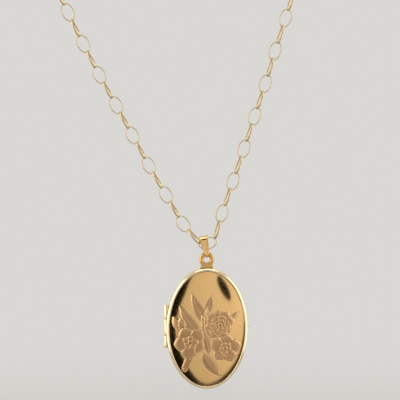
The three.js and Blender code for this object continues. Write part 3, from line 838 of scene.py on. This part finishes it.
CARD_PAPER, card_tree, card_shader = blank_material("ivory_card_calendered", Roughness=0.85)
card_place = node(card_tree, "ShaderNodeTexCoord").outputs["Object"]
fibres = node(card_tree, "ShaderNodeTexNoise", {"Vector": card_place}, Scale=per_metre(0.25), Detail=4.0)
card_tone = mixed(card_tree, fibres.outputs["Fac"], "#F2ECDD", "#E6DCC6")
card_tree.links.new(card_tone, card_shader.inputs["Base Color"])
card_bump = node(card_tree, "ShaderNodeBump", {"Height": fibres.outputs["Fac"]}, Strength=0.3, Distance=0.00002)
card_tree.links.new(card_bump.outputs[0], card_shader.inputs["Normal"])

CLEAR, clear_tree, clear_shader = blank_material(
    "acrylic_window_cut_from_sheet", Base_Color=colour("#FFFFFF"), IOR=1.49, Alpha=0.14
)
clear_place = node(clear_tree, "ShaderNodeTexCoord").outputs["Object"]
scuffs = node(clear_tree, "ShaderNodeTexNoise", {"Vector": clear_place}, Scale=per_metre(1.2), Detail=5.0)
scuff_span = node(clear_tree, "ShaderNodeMapRange", {"Value": scuffs.outputs["Fac"]}, To_Min=0.02, To_Max=0.1)
clear_tree.links.new(scuff_span.outputs[0], clear_shader.inputs["Roughness"])

card_depth = SHELF_DEPTH - GAP - SHEET
window_depth = card_depth - GAP - SHEET
frame_depth = window_depth - GAP - FRAME_THICK
FRONT_STACK, BACK_STACK = WALL + GAP, LIP_OUT + LIP_SHEET + GAP
for half, turn, inset in (("front", flipped, FRONT_STACK), ("back", list, BACK_STACK)):
    body = f"{half}_half"
    picture_frame = spun(f"{half}_frame_bezel", turn(frame_profile(inset, frame_depth)))
    stands_for(picture_frame, body, "polished_gold", GOLD, f"{half}_picture_frame")
    window = spun(f"{half}_window_sheet", turn(sheet_profile(inset, window_depth, SHEET)), steps=128)
    stands_for(window, body, "clear_sheet", CLEAR, f"{half}_window")
    card = spun(f"{half}_blank_card", turn(sheet_profile(inset, card_depth, SHEET)), steps=128)
    stands_for(card, body, "card", CARD_PAPER, f"{half}_picture_card")
print("pictures from", round(frame_depth, 2), "to", round(SHELF_DEPTH - GAP, 2), "mm off the closing plane")

# %% [markdown]
# The covers are plates struck into shallow domes. The back one is plain and polished. The dome is fullest
# in the middle and turns down more quickly towards its edge.

# %% Back cover
ROUNDNESS, DOME_SHEET = 2.3, 0.3


def dome_depth(share, edge, crown):
    return edge + (crown - edge) * (1 - share**ROUNDNESS)


def dome_profile(rings=30):
    shares = np.linspace(0, 1, rings) ** 0.85
    insets = HALF_HEIGHT - shares * (HALF_HEIGHT - PLATE_INSET)
    outer = list(zip(insets, dome_depth(shares, PLATE_EDGE_DEPTH, CROWN_DEPTH)))
    inner = list(zip(insets, dome_depth(shares, SHELF_DEPTH, CROWN_DEPTH - DOME_SHEET)))
    return outer + inner[::-1]


back_cover = spun("back_cover_dome", dome_profile(), steps=160, even=True)
stands_for(back_cover, "back_half", "polished_gold", GOLD, "back_cover")

# %% [markdown]
# The front cover carries the engraving, a loose spray of flowers and leaves. An engraver cuts it with a
# graver: the outlines are deep and bright, and the ground inside each petal and leaf is textured matt
# with fine strokes. The relief is worked out as a height over the plate, shape over shape, so that nearer
# petals cover those behind them. Every shape gives its signed distance to its own outline, and that alone
# gives groove, bevel and matt ground. The brightness of the cuts is also a painted highlight of paler gold,
# and each shape paints shading into the ground's colour.

# %% Engraved shapes
GROOVE, GROOVE_DEEP, RAISED = 0.1, 0.07, 0.05


def smooth(value):
    value = np.clip(value, 0, 1)
    return value * value * (3 - 2 * value)


def leaf(x, z, base, tip, width, bend=0.0, fullness=0.75, vein_gap=0.6):
    """Distance inside a pointed leaf, its folds, a painted highlight on its midrib and just inside its edge, and
    painted shading, lighter on its veins and on one side. Lengths in mm.
    """
    base, tip = np.array(base), np.array(tip)
    length = np.linalg.norm(tip - base)
    way = (tip - base) / length
    dx, dz = x - base[0], z - base[1]
    s = (dx * way[0] + dz * way[1]) / length
    t = dz * way[0] - dx * way[1]
    t = t - bend * 4 * s * (1 - s)
    inside = np.clip(s, 0, 1)
    half = width / 2 * np.sin(math.pi * inside**fullness) ** 0.8
    distance = np.where((s > 0) & (s < 1), (half - np.abs(t)) * 0.85, -1)
    rib = np.exp(-((t / 0.07) ** 2))
    side = np.cos(2 * math.pi * (s * length - np.abs(t) * 1.2) / vein_gap)
    vein = np.clip(side, 0, 1) ** 2 * smooth((np.abs(t) - 0.08) / 0.2)
    keel = 0.10 * np.abs(t) / (width / 2)
    inner = np.exp(-(((distance - 0.2) / 0.09) ** 2))
    return distance, 0.04 - keel - 0.07 * rib - 0.035 * vein, 0.75 * rib + 0.4 * inner, 0.35 + 0.5 * vein + 0.2 * (t > 0)


def petal(x, z, centre, angle, reach, width):
    """A broad petal that points out from the flower's centre: an oval with a wedge down to the centre."""
    out = np.array((math.cos(angle), math.sin(angle)))
    dx, dz = x - centre[0], z - centre[1]
    s = (dx * out[0] + dz * out[1]) / reach
    t = dz * out[0] - dx * out[1]
    around = np.arctan2(t / (width / 2), (s - 0.6) / 0.4)
    oval = 1 + 0.05 * np.cos(5 * around) - np.hypot((s - 0.6) / 0.4, t / (width / 2))
    wedge = np.where((s > 0) & (s < 0.65), (0.9 * width * s - np.abs(t)) * 0.7, -1)
    distance = np.maximum(oval * width / 2 * 0.9, wedge)
    ray = np.cos(2 * math.pi * t / (0.26 * width * np.clip(s, 0.12, 1) + 0.05))
    folds = np.clip(ray, 0, 1) ** 2 * smooth((0.85 - s) / 0.6)
    cup = smooth((s - 0.1) / 0.9)
    inner = np.exp(-(((distance - 0.34) / 0.1) ** 2)) * smooth((s - 0.5) / 0.2)
    # Besides its height it returns a painted highlight on an arc just inside its edge, and painted shading, lighter
    # towards the tip and on the folds.
    return distance, 0.09 * cup - 0.04 * folds - 0.03 * inner, 0.6 * inner, 0.15 + 0.5 * cup + 0.35 * folds


def stalk(x, z, start, end, start_width, end_width, bend=0.0):
    start, end = np.array(start), np.array(end)
    length = np.linalg.norm(end - start)
    way = (end - start) / length
    dx, dz = x - start[0], z - start[1]
    s = (dx * way[0] + dz * way[1]) / length
    t = dz * way[0] - dx * way[1] - bend * 4 * s * (1 - s)
    half = (start_width + (end_width - start_width) * np.clip(s, 0, 1)) / 2
    past = np.maximum(s - 1, -s) * length
    distance = np.where(past > 0, half - np.hypot(t, past), half - np.abs(t))
    grain = np.cos(2 * math.pi * t / 0.34) * (half > 0.3)
    # A stalk's painted shading runs in stripes along with its grain.
    return distance, 0.04 - 0.03 * grain, 0 * s, 0.4 + 0.2 * grain


def disc(x, z, centre, radius):
    distance = radius - np.hypot(x - centre[0], z - centre[1])
    grain = np.cos(12 * (x - centre[0])) * np.cos(12 * (z - centre[1]))
    # The flower's eye paints a highlight on the peaks of its grain, and paints its shading along with the grain.
    return distance, 0.08 + 0.035 * grain, 0.3 * (grain > 0.6), 0.2 + 0.4 * grain


def flower(centre, petals, reach, width, start, eye_radius):
    """Petals laid clockwise, each over the last, and the eye of the flower on top."""
    step = 2 * math.pi / petals
    turns = [math.radians(start) - k * step for k in range(petals)]
    shapes = [(petal, (centre, turn, reach * (1 + 0.07 * math.sin(3 * turn)), width)) for turn in turns]
    return [*shapes, (disc, (centre, eye_radius))]


SPRAY = [
    (stalk, ((-0.3, -3.0), (-3.4, 2.2), 0.5, 0.35, 0.25)),
    (stalk, ((0.1, -3.0), (0.3, 4.0), 0.6, 0.4, 0.1)),
    (stalk, ((5.3, 2.2), (6.4, 3.1), 0.35, 0.25)),
    (leaf, ((-0.9, 3.6), (1.2, 9.1), 2.0, -0.25)),
    (leaf, ((0.5, 1.0), (-4.1, 9.4), 2.7, 0.45)),
    (leaf, ((-1.6, -1.6), (-7.0, 6.0), 2.8, 0.4)),
    (leaf, ((5.4, 2.0), (8.0, 4.3), 1.2, 0.1)),
    (leaf, ((-0.4, -3.2), (-1.6, 4.2), 1.7, -0.3)),
    (leaf, ((0.6, -2.0), (-0.3, 5.8), 1.6, 0.25)),
    (petal, ((-6.2, -1.2), math.radians(118), 4.9, 1.8)),
    (petal, ((-6.2, -1.2), math.radians(98), 4.2, 1.7)),
    (stalk, ((-3.8, -5.2), (-5.7, -9.9), 1.25, 1.45, -0.15)),
    (disc, ((-5.75, -10.0), 0.45)),
    (leaf, ((-1.2, -5.9), (3.4, -12.1), 2.7, -0.3)),
    (leaf, ((-0.6, -1.6), (0.2, -6.2), 2.2, 0.25)),
    (leaf, ((0.2, -1.8), (4.6, -1.0), 1.4, 0.2)),
    *flower((3.0, 1.6), 8, 3.6, 2.5, 100, 0.7),
    *flower((3.1, 1.4), 6, 2.5, 2.2, 70, 0.6),
    *flower((3.1, 1.3), 5, 1.5, 1.6, 130, 0.45),
    *flower((-4.4, -3.1), 5, 4.0, 3.3, 118, 0.85),
    *flower((-4.4, -3.1), 5, 1.9, 1.5, 154, 0.6),
    *flower((4.5, -4.7), 5, 3.75, 3.1, 84, 0.8),
    *flower((4.5, -4.7), 5, 1.7, 1.4, 120, 0.5),
]


def engrave(x, z):
    """Height over the plate in mm, shares of matt ground and of painted highlight on the cuts, and the ground's painted
    shading, at each point.
    """
    height, matt, painted_cut_highlight, painted_shading = (np.zeros_like(x) for _ in range(4))
    for shape, settings in SPRAY:
        distance, folds, painted_shine, shade = shape(x, z, *settings)
        edge = np.exp(-((distance / (GROOVE * 0.6)) ** 2))
        level = (RAISED + folds) * smooth(distance / 0.3) - GROOVE_DEEP * edge
        blend = smooth((distance + GROOVE) / (GROOVE * 0.7))
        height = height * (1 - blend) + level * blend
        matt = matt * (1 - blend) + blend * smooth(distance / 0.14)
        # Cuts and ribs carry a painted highlight, and each shape lays its painted shading over those behind it.
        painted_cut_highlight = painted_cut_highlight * (1 - blend) + blend * np.maximum(edge, painted_shine * (distance > 0.1))
        painted_shading = painted_shading * (1 - blend) + blend * np.clip(shade, 0, 1)
    return height, matt, painted_cut_highlight, painted_shading


# %% Front cover plate
plate_half = np.array((HALF_WIDTH - PLATE_INSET, HALF_HEIGHT - PLATE_INSET))
cover = fresh(
    bpy.ops.mesh.primitive_grid_add, "front_cover_engraved", x_subdivisions=214, y_subdivisions=286, size=2
)
flat = get_points(cover)
a, b = flat[:, 0], flat[:, 1]
x = a * np.sqrt(1 - b**2 / 2) * plate_half[0]
z = b * np.sqrt(1 - a**2 / 2) * plate_half[1]
share = np.hypot(x / plate_half[0], z / plate_half[1])
height, matt, painted_cut_highlight, painted_shading = engrave(x, z)
fade = smooth((1 - share) / 0.03)
depth = dome_depth(share, PLATE_EDGE_DEPTH, CROWN_DEPTH) + height * fade
top_count = len(x)
set_points(cover, np.c_[x, -depth, z] * MM)
print(f"engraving from {height.min():.3f} to {height.max():.3f} mm over the dome")


def next_loop(obj, share_now, share_next, depth_next):
    """Extrudes the selected loop to a smaller share of the oval, at another depth."""
    only(obj)
    bpy.ops.object.mode_set(mode="EDIT")
    bpy.ops.mesh.extrude_edges_move()
    bpy.ops.object.mode_set(mode="OBJECT")
    chosen = np.zeros(len(obj.data.vertices), bool)
    obj.data.vertices.foreach_get("select", chosen)
    points = get_points(obj) / MM
    points[chosen, 0] *= share_next / share_now
    points[chosen, 2] *= share_next / share_now
    points[chosen, 1] = -depth_next
    set_points(obj, points * MM)


edit(cover, lambda: bpy.ops.mesh.select_mode(type="EDGE"), lambda: bpy.ops.mesh.region_to_loop())
previous = 1.0
for ring_share in (1.0, 0.93, 0.82, 0.68, 0.5, 0.3, 0.1):
    next_loop(cover, previous, ring_share, dome_depth(ring_share, SHELF_DEPTH, CROWN_DEPTH - DOME_SHEET))
    previous = ring_share
only(cover)
bpy.ops.object.mode_set(mode="EDIT")
bpy.ops.mesh.extrude_edges_move()
bpy.ops.mesh.merge(type="CENTER")
bpy.ops.mesh.select_all(action="SELECT")
face_outward_step()
bpy.ops.mesh.select_mode(type="VERT")
bpy.ops.object.mode_set(mode="OBJECT")
all_points = get_points(cover) / MM
# The plate stores the matt ground, the painted highlight of the cuts and the painted shading of the ground.
for layer, values in (("engraving", matt), ("painted_cut_highlight", painted_cut_highlight), ("painted_shading", painted_shading)):
    spread = np.zeros(len(all_points))
    spread[:top_count] = values * fade
    attribute = cover.data.attributes.new(layer, "FLOAT", "POINT")
    attribute.data.foreach_set("value", spread)
set_points(cover, (all_points + np.array(CASE_CENTRE) / MM) * MM)
shade(cover, 62)
print("front cover:", len(cover.data.polygons), "faces")

# %% [markdown]
# The engraved finish is the same gold as the polished plate, but its matt ground scatters the light and
# looks redder and darker. The bright cuts are a painted highlight, coloured a paler gold. Three attributes
# stored on the plate steer one shader: the matt ground, the painted highlight and the painted shading.

# %% Engraved gold
ENGRAVED, tree, shader = blank_material("rolled_gold_hand_engraved", Metallic=1.0)
place = node(tree, "ShaderNodeTexCoord").outputs["Object"]
ground = node(tree, "ShaderNodeAttribute", attribute_name="engraving").outputs["Fac"]
# The second attribute is a painted highlight along the cuts, ribs and inner arcs.
painted_highlight = node(tree, "ShaderNodeAttribute", attribute_name="painted_cut_highlight").outputs["Fac"]
cloud = node(tree, "ShaderNodeTexNoise", {"Vector": place}, Scale=per_metre(3), Detail=3.0)
plain = mixed(tree, cloud.outputs["Fac"], "#DCB47A", "#D2A76A")
# The matt ground is cut with fine strokes that lean one way.
lean = (0, math.radians(38), 0)
strokes_place = node(tree, "ShaderNodeMapping", {"Vector": place}, Rotation=lean, Scale=(1, 1, 0.16))
strokes = node(tree, "ShaderNodeTexNoise", {"Vector": strokes_place.outputs[0]}, Scale=per_metre(0.16), Detail=2.0)
# The third attribute is painted shading from the relief: lighter towards petal tips, on folds and veins, and on one
# side of each leaf.
painted_relief_shading = node(tree, "ShaderNodeAttribute", attribute_name="painted_shading").outputs["Fac"]
# The strokes and the painted shading together set how dark or light the rosy ground is.
strokes_plus_painted_shading = node(tree, "ShaderNodeMath", {0: strokes.outputs["Fac"], 1: painted_relief_shading}, operation="ADD")
ground_span = node(tree, "ShaderNodeMapRange", {"Value": strokes_plus_painted_shading.outputs[0]}, From_Min=0.4, From_Max=1.5)
rosy = mixed(tree, ground_span.outputs[0], "#9B7350", "#C49B6E")
# Along the cuts and ribs the colour turns to a paler gold: a painted highlight.
surface = mixed(tree, painted_highlight, mixed(tree, ground, plain, rosy), "#DDB98A")
tree.links.new(surface, shader.inputs["Base Color"])
rough = node(tree, "ShaderNodeMapRange", {"Value": ground}, To_Min=0.1, To_Max=0.42)
tree.links.new(rough.outputs[0], shader.inputs["Roughness"])
depth_of_strokes = node(tree, "ShaderNodeMath", {0: strokes.outputs["Fac"], 1: ground}, operation="MULTIPLY")
stroke_bump = node(
    tree, "ShaderNodeBump", {"Height": depth_of_strokes.outputs[0]}, Strength=0.6, Distance=0.00004
)
tree.links.new(stroke_bump.outputs[0], shader.inputs["Normal"])
stands_for(cover, "front_half", "engraved_gold", ENGRAVED, "front_cover")

# %% [markdown]
# Jewellery is lit by what it reflects. A large soft panel in front fills the dome, black flags round the
# panel draw the dark line along the dome's edge, and soft boxes at the sides light the rims. The floor is
# pale and plain.

# %% Floor
# Far out the floor turns to the light of the room itself, so that no horizon shows.
ROOM, ROOM_LIGHT = colour("#E4E2DE"), 0.9
FLOOR_DROP = 0.4
FLOOR_LEVEL = float(cad_box[0][2]) - FLOOR_DROP
floor = fresh(bpy.ops.mesh.primitive_plane_add, "floor", size=60, location=(0, 0, FLOOR_LEVEL))
FLOOR, floor_tree, floor_shader = blank_material("studio_paper_matt", Base_Color=colour("#BDBAB5"), Roughness=0.9)
floor_place = node(floor_tree, "ShaderNodeTexCoord").outputs["Object"]
floor_out = node(floor_tree, "ShaderNodeVectorMath", {0: floor_place}, operation="LENGTH")
floor_far = node(
    floor_tree, "ShaderNodeMapRange", {"Value": floor_out.outputs["Value"]},
    interpolation_type="SMOOTHSTEP", From_Min=0.5, From_Max=2.2,
)
room_glow = node(floor_tree, "ShaderNodeEmission", Color=ROOM, Strength=ROOM_LIGHT)
floor_parts = {0: floor_far.outputs[0], 1: floor_shader.outputs[0], 2: room_glow.outputs[0]}
floor_mix = node(floor_tree, "ShaderNodeMixShader", floor_parts)
floor_tree.links.new(floor_mix.outputs[0], floor_tree.nodes["Material Output"].inputs["Surface"])
floor.data.materials.append(FLOOR)

# %% Panel, flags and soft boxes
panel_centre = np.array((CASE_CENTRE.x, 0, CASE_CENTRE.z))
PANEL_AWAY = 0.45
BLACK_CLOTH = (0.004, 0.003, 0.002, 1)


def card(name, outline, away, emission=None, falloff=0.0):
    """An upright card in front of the locket. Its corners are degrees right and up, seen from the locket."""
    obj = fresh(bpy.ops.mesh.primitive_circle_add, name, vertices=len(outline), radius=1, fill_type="NGON")
    x, z = np.tan(np.radians(np.array(outline, float))).T * away
    set_points(obj, panel_centre + np.c_[x, np.full_like(x, -away), z])
    material = bpy.data.materials.new(name)
    material.use_nodes = True
    tree = material.node_tree
    tree.nodes.clear()
    output = node(tree, "ShaderNodeOutputMaterial")
    if emission is None:
        surface = node(tree, "ShaderNodeBsdfDiffuse", Color=BLACK_CLOTH).outputs[0]
    else:
        # A panel is brighter towards its right and dimmer towards its foot, as one lit from one side is.
        place = node(tree, "ShaderNodeTexCoord").outputs["Object"]
        parts = node(tree, "ShaderNodeSeparateXYZ", {0: place}).outputs
        glow = node(
            tree, "ShaderNodeMapRange", {"Value": parts["X"]}, From_Min=float(x.min()), From_Max=float(x.max()),
            To_Min=emission * (1 - falloff), To_Max=emission * (1 + falloff),
        )
        lower = node(
            tree, "ShaderNodeMapRange", {"Value": parts["Z"]},
            From_Min=float(panel_centre[2] + z.min()), From_Max=float(panel_centre[2]), To_Min=1 - falloff,
        )
        both = node(tree, "ShaderNodeMath", {0: glow.outputs[0], 1: lower.outputs[0]}, operation="MULTIPLY")
        surface = node(tree, "ShaderNodeEmission", {"Strength": both.outputs[0]}, Color=(1, 1, 1, 1)).outputs[0]
    tree.links.new(surface, output.inputs["Surface"])
    obj.data.materials.append(material)
    obj.visible_camera = False
    return obj


PANEL_OUTLINE = [
    (-12.5, 21.5), (-18, 15.5), (-21.5, 9.5), (-26, 3.5), (-30.5, -4.5), (-32, -12), (-30.5, -19), (-27, -24),
    (-22.5, -27), (-16, -33), (-9, -37), (-3.5, -39.3), (6, -40.8), (21, -39.8), (33, -37), (41.8, -33),
    (46, -28), (48.4, -19), (49, -8), (49, 10), (46, 27), (-10, 27),
]
card("front_panel", PANEL_OUTLINE, PANEL_AWAY, emission=1.02, falloff=0.18)
card("black_flag", [(-41, -46), (54, -46), (54, 36), (-41, 36)], PANEL_AWAY + 0.01)
card("bail_flag", [(-14, 27), (14, 27), (14, 62), (-14, 62)], PANEL_AWAY - 0.01)
# The camera's own lens mirrors as a dark leaning oval. Its sizes and place are in degrees.
LENS_RIGHT, LENS_UP, LENS_LONG, LENS_WIDE = 25, 13, 10, 4.6
lens_turn, lens_tilt = np.radians(np.arange(0, 360, 10)), math.radians(-45)
lens_long, lens_wide = LENS_LONG * np.cos(lens_turn), LENS_WIDE * np.sin(lens_turn)
card("lens_flag", np.c_[
    LENS_RIGHT + lens_long * math.cos(lens_tilt) - lens_wide * math.sin(lens_tilt),
    LENS_UP + lens_long * math.sin(lens_tilt) + lens_wide * math.cos(lens_tilt),
], PANEL_AWAY - 0.02)


def soft_box(name, location, size, radiance):
    """A soft box with an even face of the given brightness, turned to the locket."""
    light = bpy.data.lights.new(name, "AREA")
    light.shape = "RECTANGLE"
    light.size, light.size_y = size
    light.energy = radiance * math.pi * size[0] * size[1]
    lamp = bpy.data.objects.new(name, light)
    bpy.context.scene.collection.objects.link(lamp)
    lamp.location = location
    toward = Vector(panel_centre) - Vector(location)
    lamp.rotation_euler = toward.to_track_quat("-Z", "Y").to_euler()
    lamp.visible_camera = False
    return lamp


soft_box("left_soft_box", (-0.62, -0.16, 0.0), (0.8, 0.9), 1.7)
soft_box("right_soft_box", (0.7, -0.12, 0.0), (0.75, 0.9), 1.4)
soft_box("top_soft_box", (0.05, -0.1, 0.62), (0.7, 0.5), 2.0)

world = bpy.data.worlds.new("studio")
bpy.context.scene.world = world
world.use_nodes = True
# The camera sees the room's pale walls. What the gold mirrors is brighter, as inside a light tent.
seen = node(world.node_tree, "ShaderNodeLightPath").outputs["Is Camera Ray"]
TENT_GAIN = 1.15
tent = node(
    world.node_tree, "ShaderNodeMapRange", {"Value": seen}, To_Min=ROOM_LIGHT * TENT_GAIN, To_Max=ROOM_LIGHT
)
room = world.node_tree.nodes["Background"]
room.inputs["Color"].default_value = ROOM
world.node_tree.links.new(tent.outputs[0], room.inputs["Strength"])
bpy.context.scene.view_settings.view_transform = "Standard"
